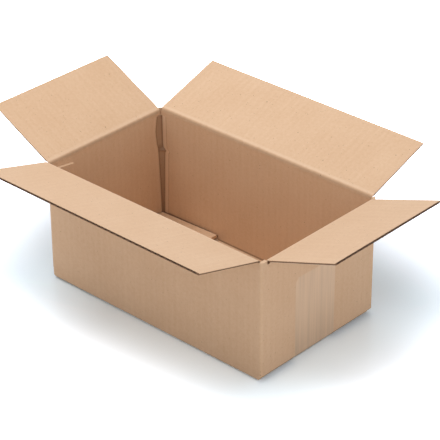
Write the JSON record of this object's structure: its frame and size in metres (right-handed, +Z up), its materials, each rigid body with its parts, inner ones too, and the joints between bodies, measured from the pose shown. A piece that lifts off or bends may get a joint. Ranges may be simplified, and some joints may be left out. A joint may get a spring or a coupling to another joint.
{
  "type": "open cardboard shipping box",
  "caption": "Open slotted carton of corrugated board with hinged top flaps and a bottom folded shut and taped, to pack goods for shipping.",
  "frame": {"origin": "middle of the box's underside, on the surface that it stands on", "axes": "+X along the length towards the right end wall, +Y to the back long wall, +Z up out of the open top"},
  "size_m": [0.3715, 0.2691, 0.1415],
  "materials": {
    "kraft_board": "uncoated brown kraft liner",
    "clear_tape": "clear film tape, slightly glossy"
  },
  "bodies": {
    "carton": {"carton_body": "kraft_board", "bottom_tape": "clear_tape"},
    "front_flap": {"top_flap_front": "kraft_board"},
    "back_flap": {"top_flap_back": "kraft_board"},
    "left_flap": {"top_flap_left": "kraft_board"},
    "right_flap": {"top_flap_right": "kraft_board"}
  },
  "joints": [
    {"name": "front_fold", "type": "hinge", "parent": "carton", "child": "front_flap", "pos_m": [0, -0.069, 0.109], "axis": [-1, 0, 0], "range_deg": [-85.7, 164.3]},
    {"name": "back_fold", "type": "hinge", "parent": "carton", "child": "back_flap", "pos_m": [0, 0.069, 0.109], "axis": [1, 0, 0], "range_deg": [-89, 161]},
    {"name": "left_fold", "type": "hinge", "parent": "carton", "child": "left_flap", "pos_m": [-0.1216, 0, 0.1068], "axis": [0, 1, 0], "range_deg": [-97, 153]},
    {"name": "right_fold", "type": "hinge", "parent": "carton", "child": "right_flap", "pos_m": [0.1216, 0, 0.1068], "axis": [0, -1, 0], "range_deg": [-90, 160]}
  ]
}
